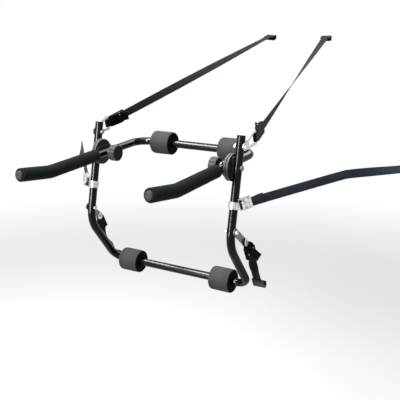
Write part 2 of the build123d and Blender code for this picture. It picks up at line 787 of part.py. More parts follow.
# Lower straps: a fixed link with an eyelet, a buckle whose tongue turns on it, and a short strap
for name, side in sides.items():
    start_place = (side * (tongue_middle + tongue_drop), *eyelet)
    end_place = (start_place[0], *onward(eyelet, lower_strap_length, lower_strap_angle))
    frame = strap_frame(start_place, end_place, (side, 0, 0))
    hook_seat = turned(frame, lower_strap_length, side * lower_strap_turn)
    tongue_plane = shifted(frame, 0, -tongue_drop)
    with BuildPart() as lower_buckle:
        add(cheeks(frame, lower_buckle_start, lower_buckle_exit, tongue_floor, cheek_thickness).part)
        with BuildSketch(tongue_plane):
            Circle(tongue_diameter / 2)
            with Locations((lower_buckle_start + overrun, 0)):
                Rectangle(2 * overrun, buckle_inside)
            make_hull()
            Circle(eyelet_radius + running_clearance, mode=Mode.SUBTRACT)
        extrude(amount=tongue_thickness / 2, both=True)
    route = spread(frame, lower_buckle_exit, lower_strap_length - lap_room, 0, side * lower_strap_turn,
                   strap_station_count)
    write(f"lower_link_{name}", lower_link(side))
    write(f"lower_eyelet_{name}", lower_eyelet(side))
    write(f"lower_buckle_{name}", lower_buckle)
    lower_lever = cam_lever(frame, lower_buckle_exit, lower_lever_reach, lower_lever_rise)
    write(f"lower_lever_{name}", lower_lever)
    write(f"lower_pin_{name}", pin_and_spring(frame, lower_buckle_exit, cheek_thickness))
    write(f"lower_webbing_{name}", webbing(frame, lower_buckle_exit - pin_from_exit - tail_length, route,
                                           hook_seat))
    write(f"lower_hook_{name}", flat_hook(hook_seat))

# Side straps: a steel fitting hooked round the upright, and webbing that bends over the panel's edge
for name, side in sides.items():
    seat_point = Vector(side * upright_half_spacing, *side_seat)
    bend_place = (side * side_bend_place[0], side_bend_place[1], side_bend_place[2])
    far_place = side_hook_places[name]
    hook_place = (side * far_place[0], far_place[1], far_place[2])
    facing = Vector(side * fitting_facing[0], fitting_facing[1], fitting_facing[2]).normalized()
    frame = strap_frame(seat_point + facing * webbing_off_tube, bend_place, facing)
    far_frame = strap_frame(bend_place, hook_place, frame.z_dir)
    bend_distance = (Vector(*bend_place) - frame.origin).length
    hook_distance = (Vector(*hook_place) - Vector(*bend_place)).length
    hook_seat = turned(far_frame, hook_distance, -side * side_strap_turn)
    plate_middle = floor_top - steel_thickness / 2
    bend_radius = webbing_off_tube + plate_middle
    tip_place = (fitting_tip, -webbing_off_tube - bend_radius)
    with BuildPart() as side_fitting:
        add(cheeks(frame, side_buckle_start, side_buckle_exit, steel_floor, steel_thickness).part)
        with BuildSketch(side_plane(round_upright(frame))):
            with BuildLine():
                tip = Line(tip_place, (0, tip_place[1]))
                curve = ThreePointArc(tip @ 1, (-bend_radius, -webbing_off_tube), (0, plate_middle))
                Line(curve @ 1, (side_buckle_start + fitting_strip_overlap, plate_middle))
            trace(line_width=steel_thickness)
        extrude(amount=fitting_strip_width / 2, both=True)
    lap_start = side_buckle_exit + 2 * overrun
    with BuildPart() as side_webbing:
        near = spread(frame, side_buckle_exit, bend_distance - side_bend_run, 0, 0, 2)
        far = spread(far_frame, side_bend_run, hook_distance - lap_room, 0, -side * side_strap_turn, 3)
        add(webbing(frame, side_buckle_exit - pin_from_exit - tail_length, near + far, hook_seat).part)
        with BuildSketch(side_plane(frame)):
            with Locations((lap_start + side_lap_length / 2, side_lap_thickness / 2 - half_strap)):
                Rectangle(side_lap_length, side_lap_thickness)
        extrude(amount=strap_width / 2, both=True)
    write(f"side_fitting_{name}", side_fitting)
    write(f"side_lever_{name}", cam_lever(frame, side_buckle_exit, side_lever_reach, side_lever_rise))
    write(f"side_pin_{name}", pin_and_spring(frame, side_buckle_exit, steel_thickness))
    write(f"side_webbing_{name}", side_webbing)
    write(f"side_hook_{name}", flat_hook(hook_seat))
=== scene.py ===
from math import cos, pi, radians, sin

import bpy
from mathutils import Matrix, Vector


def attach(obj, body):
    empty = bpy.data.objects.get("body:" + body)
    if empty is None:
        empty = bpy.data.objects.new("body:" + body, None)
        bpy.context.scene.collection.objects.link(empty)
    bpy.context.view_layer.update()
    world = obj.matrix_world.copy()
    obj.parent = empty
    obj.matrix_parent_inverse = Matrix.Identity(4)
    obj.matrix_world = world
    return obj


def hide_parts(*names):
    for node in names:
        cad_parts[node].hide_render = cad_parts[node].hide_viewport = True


# A strap-on rear bike rack: two bent tube frames on toothed hubs, foam pads and sleeves, and six
# webbing straps with cam buckles. Metres. X is to the right seen from behind, Y points forward to
# the panel that it leans on, Z is up, and the origin is the middle of the lower cross bar.
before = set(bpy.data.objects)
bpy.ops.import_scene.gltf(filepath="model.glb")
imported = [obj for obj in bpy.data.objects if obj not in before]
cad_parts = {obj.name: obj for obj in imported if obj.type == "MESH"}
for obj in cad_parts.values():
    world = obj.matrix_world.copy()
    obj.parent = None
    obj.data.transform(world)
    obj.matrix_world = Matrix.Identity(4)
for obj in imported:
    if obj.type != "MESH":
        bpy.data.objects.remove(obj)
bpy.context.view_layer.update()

# The view and the room
# Seen from behind and from the right with a long lens, at chest height, as the photograph is.
# The floor is pale and keeps the soft shadow, and everything round it is white.
camera_lens = bpy.data.cameras.new("view")
camera_lens.lens = 63.0
camera_lens.sensor_width = 36.0
camera = bpy.data.objects.new("view", camera_lens)
camera.location = (1.1765, -1.7848, 0.7884)
camera.rotation_euler = (radians(75.41), 0.0, radians(31.51))
bpy.context.scene.collection.objects.link(camera)
bpy.context.scene.camera = camera
bpy.context.scene.view_settings.view_transform = "Standard"


class Shade:
    """A socket in a shader tree. Sums of values add Math nodes, and node() adds any other node."""

    def __init__(self, tree, socket=None):
        self.tree = tree
        self.socket = socket

    def node(self, kind, settings=None, inputs=None, output=0):
        """Adds a node: its settings first, then its sockets' values or links. Gives its output."""
        made = self.tree.nodes.new(kind)
        for name, value in (settings or {}).items():
            setattr(made, name, value)
        for name, value in (inputs or {}).items():
            if isinstance(value, Shade):
                self.tree.links.new(value.socket, made.inputs[name])
            else:
                made.inputs[name].default_value = value
        return Shade(self.tree, made.outputs[output])

    def maths(self, operation, *values):
        return self.node("ShaderNodeMath", {"operation": operation}, dict(enumerate(values)))

    def __add__(self, other):
        return self.maths("ADD", self, other)

    def __radd__(self, other):
        return self.maths("ADD", other, self)

    def __sub__(self, other):
        return self.maths("SUBTRACT", self, other)

    def __rsub__(self, other):
        return self.maths("SUBTRACT", other, self)

    def __mul__(self, other):
        return self.maths("MULTIPLY", self, other)

    def __rmul__(self, other):
        return self.maths("MULTIPLY", other, self)

    def __truediv__(self, other):
        return self.maths("DIVIDE", self, other)

    def __rtruediv__(self, other):
        return self.maths("DIVIDE", other, self)

    def absolute(self):
        return self.maths("ABSOLUTE", self)

    def largest(self, other):
        return self.maths("MAXIMUM", self, other)

    def ridges(self):
        """Rounded ridges from 0 to 1, each one pi wide."""
        return self.maths("SINE", self).absolute()

    def coordinate(self, axis):
        """One coordinate of this vector: 0 for x, 1 for y, 2 for z."""
        return self.node("ShaderNodeSeparateXYZ", {}, {0: self}, axis)

    def object_place(self):
        """Where each point of the piece lies, in metres."""
        return self.node("ShaderNodeTexCoord", output=3)

    def plainly_shown(self):
        """1 for a ray that shows a surface itself: seen, mirrored, or through something clear."""
        rays = self.tree.nodes.new("ShaderNodeLightPath").outputs
        seen, mirrored, through = [Shade(self.tree, rays[f"Is {kind} Ray"])
                                   for kind in ("Camera", "Glossy", "Transmission")]
        return seen.largest(mirrored.largest(through))

    def step(self, low, high):
        """0 below low, 1 above high, and smooth between them."""
        settings = {"interpolation_type": "SMOOTHSTEP"}
        return self.node("ShaderNodeMapRange", settings, {0: self, 1: low, 2: high})

    def colours(self, low, high):
        """A colour that goes from low, where this value is 0, to high, where it is 1."""
        return self.node("ShaderNodeMix", {"data_type": "RGBA"}, {0: self, 6: low, 7: high}, 2)

    def noise(self, place, scale, detail=2.0):
        return self.node("ShaderNodeTexNoise", {}, {"Vector": place, "Scale": scale, "Detail": detail})

    def stretched(self, place, factors):
        """A place multiplied along each axis, so that a pattern on it is drawn out."""
        return self.node("ShaderNodeVectorMath", {"operation": "MULTIPLY"}, {0: place, 1: factors})

    def relief(self, height, distance, strength=1.0):
        """A bump normal, for a height from 0 to 1 that stands for a depth of distance."""
        inputs = {"Height": height, "Distance": distance, "Strength": strength}
        return self.node("ShaderNodeBump", {}, inputs)


def rgb(red, green=None, blue=None):
    """A linear colour, grey where only one value is given."""
    return (red, red if green is None else green, red if blue is None else blue, 1.0)


# What is white to look at gives the rack only this share of its light, so that black stays black.
air_light = 0.2
room = bpy.data.worlds.new("room")
room.use_nodes = True
bpy.context.scene.world = room
strength = air_light + Shade(room.node_tree).plainly_shown() * (1.0 - air_light)
background = room.node_tree.nodes["Background"]
background.inputs["Color"].default_value = rgb(1.0)
room.node_tree.links.new(strength.socket, background.inputs["Strength"])

# To look at, the floor is pale grey and fades to plain white away from the rack. As a lamp it gives
# less than it shows, as the room does.
floor_level = -0.62
floor_half = 9.0
floor_grey = 0.94
floor_light = 0.3
far_light = 0.1
fade_start = 1.2
fade_end = 3.6
floor_mesh = bpy.data.meshes.new("floor")
floor_mesh.from_pydata([(-floor_half, -floor_half, floor_level), (floor_half, -floor_half, floor_level),
                        (floor_half, floor_half, floor_level), (-floor_half, floor_half, floor_level)],
                       [], [(0, 1, 2, 3)])
floor = bpy.data.objects.new("floor", floor_mesh)
bpy.context.scene.collection.objects.link(floor)

floor_paint = bpy.data.materials.new("pale_floor")
floor_paint.use_nodes = True
paint = Shade(floor_paint.node_tree)
flat_place = paint.stretched(paint.object_place(), (1.0, 1.0, 0.0))
away = paint.node("ShaderNodeVectorMath", {"operation": "LENGTH"}, {0: flat_place}, 1)
shown = paint.plainly_shown()
near_grey = floor_light + shown * (floor_grey - floor_light)
far_white = far_light + shown * (1.0 - far_light)
matt = paint.node("ShaderNodeBsdfDiffuse", {}, {"Color": near_grey, "Roughness": 0.0})
white = paint.node("ShaderNodeEmission", {}, {"Color": rgb(1.0), "Strength": far_white})
faded = paint.node("ShaderNodeMixShader", {}, {0: away.step(fade_start, fade_end), 1: matt, 2: white})
output = floor_paint.node_tree.nodes["Material Output"]
floor_paint.node_tree.links.new(faded.socket, output.inputs["Surface"])
floor_mesh.materials.append(floor_paint)

painted_steel = bpy.data.collections.new("painted_steel")
for name in ("lower_frame_tube", "arm_frame_tube"):
    painted_steel.objects.link(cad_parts[name])


def lamp(name, place, aim, width, height, power, on_paint_only=False):
    """A soft rectangular lamp that faces the point it is aimed at, with its power in watts.

    One that is on the paint only shows as a gleam in the tubes' gloss, and lights nothing else.
    """
    light = bpy.data.lights.new(name, "AREA")
    light.shape = "RECTANGLE"
    light.size = width
    light.size_y = height
    light.energy = power
    holder = bpy.data.objects.new(name, light)
    holder.location = place
    holder.rotation_euler = (Vector(aim) - Vector(place)).to_track_quat("-Z", "Y").to_euler()
    if on_paint_only:
        holder.visible_diffuse = False
        holder.light_linking.receiver_collection = painted_steel
    bpy.context.scene.collection.objects.link(holder)


rack_middle = (0.0, 0.0, 0.3)
lamp("window_left", (-0.75, -2.5, 1.0), rack_middle, 0.9, 2.2, 55.0)
lamp("sky", (-0.4, -0.3, 2.9), rack_middle, 2.2, 1.4, 116.0)
lamp("side_gleam", (-0.75, -2.5, 0.9), rack_middle, 0.5, 2.4, 400.0, True)
lamp("top_gleam", (-1.3, -0.97, 2.24), rack_middle, 2.8, 0.85, 620.0, True)
lamp("front_gleam", (0.15, 1.95, 1.9), rack_middle, 1.5, 1.0, 48.0, True)

# Straps
# Flat polyester webbing 26 mm wide, woven slate black with a firm selvage, drawn tight. Each strap
# runs from its cam buckle to a flat hook, where its end is turned round the hook's bar and sewn
# back on itself with a box of stitches. The top and lower pairs are woven in a deeper black.
webbing_width = 0.026
webbing_thickness = 0.0016
webbing_sizes = {"Width": webbing_width, "Thickness": webbing_thickness, "Edge": 0.0005, "Step": 0.0015}
tail_inside_buckle = 0.034

# The sewn lap ends short of the hook's bar, and the loop goes round the bar.
lap_length = 0.032
bar_gap = 0.0033
lap_ease = 0.004
loop_neck = 0.009
loop_along = 0.0041
loop_up = 0.00235

# The stitches lie just off the webbing's faces, in a box that keeps clear of its ends and edges.
face_gap = 0.0001
stitch_lift = webbing_thickness + face_gap
seam_inset = 0.003
seam_half = 0.0105


class Recipe:
    """A Geometry Nodes tree, made step by step, that turns a guide into a finished plain mesh."""

    def __init__(self, name, sizes):
        self.tree = bpy.data.node_groups.new(name, "GeometryNodeTree")
        face = self.tree.interface
        face.new_socket("Geometry", in_out="INPUT", socket_type="NodeSocketGeometry")
        face.new_socket("Geometry", in_out="OUTPUT", socket_type="NodeSocketGeometry")
        for size in sizes:
            kind = "NodeSocketInt" if size.endswith("Count") else "NodeSocketFloat"
            face.new_socket(size, in_out="INPUT", socket_type=kind)
        self.given = self.tree.nodes.new("NodeGroupInput").outputs

    def step(self, kind, settings=None, inputs=None, output=0):
        """Adds a node with its settings and sockets, and gives one of its outputs."""
        made = self.tree.nodes.new(kind)
        for name, value in (settings or {}).items():
            if name == "captured":
                for item, data_type in value.items():
                    made.capture_items.new(data_type, item)
            else:
                setattr(made, name, value)
        for name, value in (inputs or {}).items():
            if isinstance(value, bpy.types.NodeSocket):
                self.tree.links.new(value, made.inputs[name])
            else:
                made.inputs[name].default_value = value
        return made.outputs[output]

    def end(self, shape, material):
        """Realizes what was made, gives it its material, which a piece may change, and ends the tree."""
        real = self.step("GeometryNodeRealizeInstances", {}, {0: shape})
        dressed = self.step("GeometryNodeSetMaterial", {}, {"Geometry": real, "Material": material})
        self.tree.links.new(dressed, self.tree.nodes.new("NodeGroupOutput").inputs[0])

    def plain_mesh(self, name, guide_mesh, sizes):
        """Runs the tree on a guide and keeps only the resulting mesh, as an object of its own."""
        guide = bpy.data.objects.new(name + "_guide", guide_mesh)
        bpy.context.scene.collection.objects.link(guide)
        maker = guide.modifiers.new("maker", "NODES")
        maker.node_group = self.tree
        for item in self.tree.interface.items_tree:
            if item.in_out == "INPUT" and item.name in sizes:
                maker[item.identifier] = sizes[item.name]
        graph = bpy.context.evaluated_depsgraph_get()
        made = bpy.data.meshes.new_from_object(guide.evaluated_get(graph), depsgraph=graph)
        guide.modifiers.remove(maker)
        bpy.data.objects.remove(guide)
        made.name = name
        piece = bpy.data.objects.new(name, made)
        bpy.context.scene.collection.objects.link(piece)
        return piece


def new_material(name):
    """A node material, with the wrapper that its pattern is written with."""
    material = bpy.data.materials.new(name)
    material.use_nodes = True
    return material, Shade(material.node_tree)


def surface(material, **sockets):
    """Sets the material's surface: a plain value on its own socket, or a link."""
    skin = material.node_tree.nodes["Principled BSDF"]
    for name, value in sockets.items():
        socket = skin.inputs[name.replace("_", " ")]
        if isinstance(value, Shade):
            material.node_tree.links.new(value.socket, socket)
        else:
            socket.default_value = value


rib_width = 0.0013
pick_length = 0.0018
selvage_start = 0.0116
selvage_end = 0.0122


def woven(name, darkest, lightest):
    """Webbing cloth: ribs along it, picks across them, a flatter selvage, faded here and there."""
    cloth, yarn = new_material(name)
    laid = yarn.node("ShaderNodeUVMap", {"uv_map": "weave"})
    run = laid.coordinate(0)
    across = laid.coordinate(1)
    column = yarn.maths("FLOOR", across / rib_width)
    rib = (across * (pi / rib_width)).ridges()
    pick = ((run / pick_length + column * 0.5) * pi).ridges()
    selvage = across.absolute().step(selvage_start, selvage_end)
    weave = rib * (0.45 + pick * 0.55)
    flat_weave = weave * (1 - selvage) + selvage * (0.55 + pick * 0.35)
    place = yarn.object_place()
    fading = yarn.noise(place, 14.0, 3.0)
    fluff = yarn.noise(place, 900.0, 2.0)
    tone = weave * 0.55 + fading * 0.35 + fluff * 0.1
    surface(cloth, Base_Color=tone.colours(darkest, lightest), Roughness=0.62 + fluff * 0.2,
            Normal=yarn.relief(flat_weave, 0.0004, 0.9), Sheen_Weight=0.08, Sheen_Roughness=0.4,
            Specular_IOR_Level=0.15)
    return cloth


webbing_cloth = woven("slate_webbing", rgb(0.01, 0.0132, 0.0182), rgb(0.047, 0.062, 0.082))
top_cloth = woven("dark_webbing", rgb(0.0048, 0.0062, 0.0088), rgb(0.023, 0.0295, 0.041))
lower_cloth = woven("black_webbing", rgb(0.003, 0.003, 0.004), rgb(0.014, 0.0145, 0.018))

ribbon = Recipe("webbing_ribbon", ["Width", "Thickness", "Edge", "Step"])
centre = ribbon.step("GeometryNodeMeshToCurve", {}, {0: ribbon.given["Geometry"]})
centre = ribbon.step("GeometryNodeResampleCurve", {"mode": "LENGTH"},
                     {"Curve": centre, "Length": ribbon.given["Step"]})
sideways = ribbon.step("GeometryNodeInputNamedAttribute", {"data_type": "FLOAT_VECTOR"},
                       {"Name": "across"})
heading = ribbon.step("GeometryNodeInputTangent")
upward = ribbon.step("ShaderNodeVectorMath", {"operation": "CROSS_PRODUCT"}, {0: heading, 1: sideways})
centre = ribbon.step("GeometryNodeSetCurveNormal", {"mode": "FREE"}, {"Curve": centre, "Normal": upward})
travelled = ribbon.step("GeometryNodeSplineParameter", output=1)
centre = ribbon.step("GeometryNodeCaptureAttribute", {"captured": {"run": "FLOAT"}},
                     {0: centre, 1: travelled})
section = ribbon.step("GeometryNodeCurvePrimitiveQuadrilateral", {},
                      {"Width": ribbon.given["Thickness"], "Height": ribbon.given["Width"]})
section = ribbon.step("GeometryNodeFilletCurve", {"mode": "POLY"},
                      {"Curve": section, "Count": 3, "Radius": ribbon.given["Edge"],
                       "Limit Radius": True})
section_place = ribbon.step("GeometryNodeInputPosition")
section_apart = ribbon.step("ShaderNodeSeparateXYZ", {}, {0: section_place}, 1)
section = ribbon.step("GeometryNodeCaptureAttribute", {"captured": {"side": "FLOAT"}},
                      {0: section, 1: section_apart})
cloth = ribbon.step("GeometryNodeCurveToMesh", {},
                    {"Curve": centre, "Profile Curve": section, "Scale": 1.0, "Fill Caps": True})
laid_out = ribbon.step("ShaderNodeCombineXYZ", {},
                       {0: centre.node.outputs["run"], 1: section.node.outputs["side"]})
cloth = ribbon.step("GeometryNodeStoreNamedAttribute", {"data_type": "FLOAT2", "domain": "CORNER"},
                    {"Geometry": cloth, "Name": "weave", "Value": laid_out})
ribbon.end(cloth, webbing_cloth)

thread_shine, fibre = new_material("stitch_thread")
twist = fibre.noise(fibre.object_place(), 2600.0, 1.0)
surface(thread_shine, Base_Color=twist.colours(rgb(0.03, 0.036, 0.045), rgb(0.085, 0.095, 0.11)),
        Roughness=0.45 + twist * 0.2, Normal=fibre.relief(twist, 0.0001))

stitching = Recipe("stitch_rows", ["Pitch", "Length", "Thickness"])
seam = stitching.step("GeometryNodeMeshToCurve", {}, {0: stitching.given["Geometry"]})
holes = stitching.step("GeometryNodeCurveToPoints", {"mode": "LENGTH"},
                       {"Curve": seam, "Length": stitching.given["Pitch"]})
aligned = stitching.step("FunctionNodeAlignRotationToVector", {"axis": "X"},
                         {"Vector": holes.node.outputs["Tangent"]})
bead = stitching.step("GeometryNodeMeshUVSphere", {}, {"Segments": 6, "Rings": 4, "Radius": 0.5})
bead_size = stitching.step("ShaderNodeCombineXYZ", {},
                           {0: stitching.given["Length"], 1: stitching.given["Thickness"],
                            2: stitching.given["Thickness"]})
beads = stitching.step("GeometryNodeInstanceOnPoints", {},
                       {"Points": holes, "Instance": bead, "Rotation": aligned, "Scale": bead_size})
stitching.end(beads, thread_shine)


class StrapRun:
    """A straight run of a strap: ahead along it, lift out of its face, and beside across it."""

    def __init__(self, start, end, facing):
        self.start = Vector(start)
        self.length = (Vector(end) - self.start).length
        self.ahead = (Vector(end) - self.start).normalized()
        lift = Vector(facing) - self.ahead * Vector(facing).dot(self.ahead)
        self.lift = lift.normalized()
        self.beside = self.lift.cross(self.ahead)

    def at(self, ahead, lift=0.0, turn=0.0, beside=0.0):
        """A point along the run, off the webbing's face when it has turned so far."""
        up = self.lift * cos(radians(turn)) - self.beside * sin(radians(turn))
        out = self.beside * cos(radians(turn)) + self.lift * sin(radians(turn))
        return self.start + self.ahead * ahead + up * lift + out * beside

    def width_way(self, turn=0.0):
        """The way that the webbing's width lies when it has turned so far."""
        return self.beside * cos(radians(turn)) + self.lift * sin(radians(turn))


def smooth_line(name, points):
    """The points along a smooth curve that these points steer."""
    line = bpy.data.curves.new(name, "CURVE")
    line.dimensions = "3D"
    spline = line.splines.new("NURBS")
    spline.points.add(len(points) - 1)
    for knot, point in zip(spline.points, points):
        knot.co = (*point, 1.0)
    spline.order_u = 3
    spline.use_endpoint_u = True
    line.resolution_u = 24
    holder = bpy.data.objects.new(name, line)
    bpy.context.scene.collection.objects.link(holder)
    graph = bpy.context.evaluated_depsgraph_get()
    mesh = bpy.data.meshes.new_from_object(holder.evaluated_get(graph), depsgraph=graph)
    places = [point.co.copy() for point in mesh.vertices]
    bpy.data.objects.remove(holder)
    bpy.data.curves.remove(line)
    return places


def guide_line(name, places, ways=None):
    """An edge mesh through places, with the way that the webbing's width lies at each."""
    mesh = bpy.data.meshes.new(name)
    mesh.from_pydata(places, [(k, k + 1) for k in range(len(places) - 1)], [])
    if ways:
        layer = mesh.attributes.new("across", "FLOAT_VECTOR", "POINT")
        for item, way in zip(layer.data, ways):
            item.vector = way
    return mesh


def seam_box(run, start, end, turn, lift, beside):
    """The rows of a sewn box with a cross in it, on one face of a lap."""
    corners = [run.at(along, lift, turn, edge) for along, edge in
               ((start, -beside), (end, -beside), (end, beside), (start, beside))]
    rows = [(0, 1), (1, 2), (2, 3), (3, 0), (0, 2), (1, 3)]
    return [[corners[a], corners[b]] for a, b in rows]


def sewn(name, rows):
    """Stitches along rows, each row from one point to another."""
    mesh = bpy.data.meshes.new(name)
    mesh.from_pydata([point for row in rows for point in row],
                     [(2 * k, 2 * k + 1) for k in range(len(rows))], [])
    return stitching.plain_mesh(name, mesh, {"Pitch": 0.0032, "Length": 0.0026, "Thickness": 0.0007})


def strap(name, body, near, far, turn, turn_start, turn_end, route, extra_rows=()):
    """Webbing along a route to the far run's bar, where it is turned round the bar and sewn.

    Between two marks along the far run it twists by the degrees of turn, to lie flat in its hook.
    """
    line = smooth_line(name + "_line", route)
    bar = far.length
    half = webbing_thickness / 2
    lap_end = bar - bar_gap - half
    lap_start = lap_end - lap_length

    def past_start(point):
        """How far along the far run a point lies."""
        return (point - far.start).dot(far.ahead)

    def way_at(point):
        """The way that the webbing's width lies at a point."""
        if past_start(point) <= 0:
            return near.width_way()
        share = (past_start(point) - turn_start) / (turn_end - turn_start)
        return far.width_way(turn * min(1.0, max(0.0, share)))

    places = [point for point in line if past_start(point) < lap_start]
    ways = [way_at(point) for point in places]
    loop = [(lap_start, 0.0), (lap_start + lap_ease, half), (bar - loop_neck, half),
            (bar - loop_along, half), (bar - loop_along, loop_up), (bar, loop_up),
            (bar + loop_along, loop_up), (bar + loop_along, 0.0), (bar + loop_along, -loop_up),
            (bar, -loop_up), (bar - loop_along, -loop_up), (bar - loop_along, -half),
            (bar - loop_neck, -half), (lap_start, -half)]
    loop_places = smooth_line(name + "_loop", [far.at(along, lift, turn) for along, lift in loop])
    places += loop_places
    ways += [far.width_way(turn)] * len(loop_places)
    piece = ribbon.plain_mesh(name, guide_line(name, places, ways), webbing_sizes)
    rows = []
    for lift in (stitch_lift, -stitch_lift):
        rows += seam_box(far, lap_start + seam_inset, lap_end - 2 * seam_inset, turn, lift, seam_half)
    stitches = sewn(name + "_stitches", rows + list(extra_rows))
    for part in (piece, stitches):
        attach(part, body)
    return piece, stitches, line


sides = {"left": -1.0, "right": 1.0}
hook_turn = 90.0


def on_side(side, point):
    """A point that is given for the right side, or its mirror on the left."""
    return Vector((side * point[0], point[1], point[2]))


def straight_route(run, exit_along, middle, lap_at):
    """A taut strap's route, from inside its buckle to the bar of its hook."""
    marks = (exit_along - tail_inside_buckle, exit_along, middle, lap_at, run.length)
    return [run.at(along) for along in marks]


# The top pair pulls up and forward. Places are the right strap's, and the left one is its mirror.
top_link_end = (0.2703, -0.00188, 0.45644)
top_hook_bar = (0.124, 0.8675, 0.7118)
top_middle = 0.45
exit_along = 0.074
for name, side in sides.items():
    run = StrapRun(on_side(side, top_link_end), on_side(side, top_hook_bar), (-side, 0.0, 0.0))
    lap_at = run.length - lap_length - bar_gap
    route = straight_route(run, exit_along, top_middle, lap_at)
    piece, stitches, line = strap(f"top_strap_webbing_{name}", f"top_strap_{name}", run, run,
                                  side * hook_turn, exit_along, lap_at, route)
    piece.data.materials[0] = top_cloth
    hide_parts(f"top_webbing_{name}")
    run.at(exit_along - 0.006)

# The side pair goes out from the uprights and bends to its far hooks. A folded hem is sewn on the
# webbing outside each buckle, and the loose tail lies over it.
side_seat = (0.256, -0.09879, 0.27276)
side_facing = (0.665, -0.735, 0.146)
seat_to_webbing = 0.0169
bends = {"left": (0.475, 0.099, 0.354), "right": (0.5036, 0.1249, 0.351)}
hook_bars = {"left": (0.640, 0.279, 0.254), "right": (0.640, 0.279, 0.354)}
side_hook_turn = -35.0
bend_run = 0.012
hem_start = 0.049
hem_end = 0.077
hem_thickness = 0.0022
hem_lift = webbing_thickness / 2 + face_gap + hem_thickness / 2
hem_sizes = {**webbing_sizes, "Thickness": hem_thickness, "Edge": 0.0009}
hem_stitch_lift = 0.0031
tail_lift = 0.0042
tail_flat = 0.022
tail_length = 0.037
tail_curl = 0.0035
tail_slant = radians(9.0)
tail_twist = radians(16.0)
exit_along = 0.047
for name, side in sides.items():
    facing = on_side(side, side_facing).normalized()
    bend = on_side(side, bends[name])
    near = StrapRun(on_side(side, side_seat) + facing * seat_to_webbing, bend, facing)
    far = StrapRun(bend, on_side(side, hook_bars[name]), near.lift)
    lap_at = far.length - lap_length - bar_gap
    route = [near.at(exit_along - tail_inside_buckle), near.at(exit_along),
             near.at(near.length - bend_run), far.at(bend_run), far.at(lap_at), far.at(far.length)]
    hem_rows = seam_box(near, hem_start + seam_inset, hem_end - seam_inset, 0.0, hem_stitch_lift,
                        seam_half)
    piece, stitches, line = strap(f"side_strap_webbing_{name}", f"side_strap_{name}", near, far,
                                  side * side_hook_turn, bend_run, lap_at, route, hem_rows)
    hem_line = guide_line("hem", [near.at(hem_start, hem_lift), near.at(hem_end, hem_lift)],
                          [near.width_way(), near.width_way()])
    hem = ribbon.plain_mesh(f"side_strap_hem_{name}", hem_line, hem_sizes)
    # The tail comes back out of the buckle, lies a little askew, and curls up at its cut end.
    askew = near.ahead * cos(tail_slant) + near.beside * side * sin(tail_slant)
    tail_across = near.lift.cross(askew)
    twisted = tail_across * cos(tail_twist) + near.lift * side * sin(tail_twist)
    tail_root = near.at(hem_start, tail_lift)
    tail_line = guide_line("tail", [tail_root, tail_root + askew * tail_flat,
                                    tail_root + askew * tail_length + near.lift * tail_curl],
                           [tail_across, tail_across, twisted])
    tail = ribbon.plain_mesh(f"side_strap_tail_{name}", tail_line, webbing_sizes)
    for part in (hem, tail):
        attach(part, f"side_strap_{name}")
    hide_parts(f"side_webbing_{name}")
    near.at(exit_along - 0.006)

# The lower pair is short, and drops steeply forward from the eyelets of the lower link plates.
lower_eyelet_end = (0.2791, -0.05872, 0.15542)
lower_slope = radians(-63.0)
lower_bar_away = 0.156
lower_middle = 0.1
exit_along = 0.056
for name, side in sides.items():
    start = on_side(side, lower_eyelet_end)
    end = start + Vector((0.0, cos(lower_slope), sin(lower_slope))) * lower_bar_away
    run = StrapRun(start, end, (side, 0.0, 0.0))
    lap_at = run.length - lap_length - bar_gap
    route = straight_route(run, exit_along, lower_middle, lap_at)
    piece, stitches, _ = strap(f"lower_strap_webbing_{name}", f"lower_strap_{name}", run, run,
                               side * hook_turn, exit_along, lap_at, route)
    piece.data.materials[0] = lower_cloth
    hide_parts(f"lower_webbing_{name}")

# Tube frames
# Two bent steel tubes, 25 mm across: the lower frame with its uprights, and the arm frame with its
# upper cross bar. Both are powder coated gloss black, which leaves a faint orange peel.


def dress(material, *names):
    """Gives the frame's own pieces their material."""
    for name in names:
        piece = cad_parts[name]
        if not piece.material_slots:
            piece.data.materials.append(material)
        for slot in piece.material_slots:
            slot.material = material


def both(*kinds):
    """The names of the left and the right piece of each kind."""
    return [f"{kind}_{name}" for kind in kinds for name in sides]


powder_coat, coat = new_material("black_powder_coat")
place = coat.object_place()
peel = coat.noise(place, 420.0, 1.5)
drift = coat.noise(place, 9.0, 3.0)
dust = coat.noise(place, 1600.0, 2.0)
surface(powder_coat,
        Base_Color=drift.colours(rgb(0.002, 0.0022, 0.0028), rgb(0.005, 0.0055, 0.0068)),
        Roughness=0.14 + drift * 0.05 + dust * 0.04,
        Normal=coat.relief(peel, 0.00002, 0.1),
        Specular_IOR_Level=0.12)
dress(powder_coat, "lower_frame_tube", "arm_frame_tube")

# Foam pads
# Four thick rollers of charcoal closed-cell foam, 74 mm across, pushed onto the two cross bars so
# that they lean on the panel. They are cut off a long roll, which leaves faint rings on their ends.
pad_foam, foam = new_material("charcoal_foam")
place = foam.object_place()
cells = foam.node("ShaderNodeTexVoronoi", {"feature": "F1"}, {"Vector": place, "Scale": 1100.0})
lumps = foam.noise(place, 60.0, 4.0)
turning = foam.noise(foam.stretched(place, (900.0, 3.0, 3.0)), 1.0, 2.0)
shade_of_foam = lumps * 0.45 + cells * 0.35 + turning * 0.3
sideways = foam.node("ShaderNodeTexCoord", output=1).coordinate(0)
cut_face = sideways.absolute().step(0.75, 0.95)
from_rim = foam.node("ShaderNodeAttribute", {"attribute_name": "from_end"}, output=2)
ring_half = 0.0011
ring_floor = 0.0004
pressed_ring = (from_rim - 0.0075).absolute().step(ring_half, ring_floor)
for ring_place, ring_depth in ((0.0125, 0.7), (0.0165, 0.5), (0.0215, 0.6), (0.0285, 0.35)):
    fainter = (from_rim - ring_place).absolute().step(ring_half, ring_floor) * ring_depth
    pressed_ring = pressed_ring.largest(fainter)
skin_colour = shade_of_foam.colours(rgb(0.056, 0.054, 0.056), rgb(0.116, 0.112, 0.116))
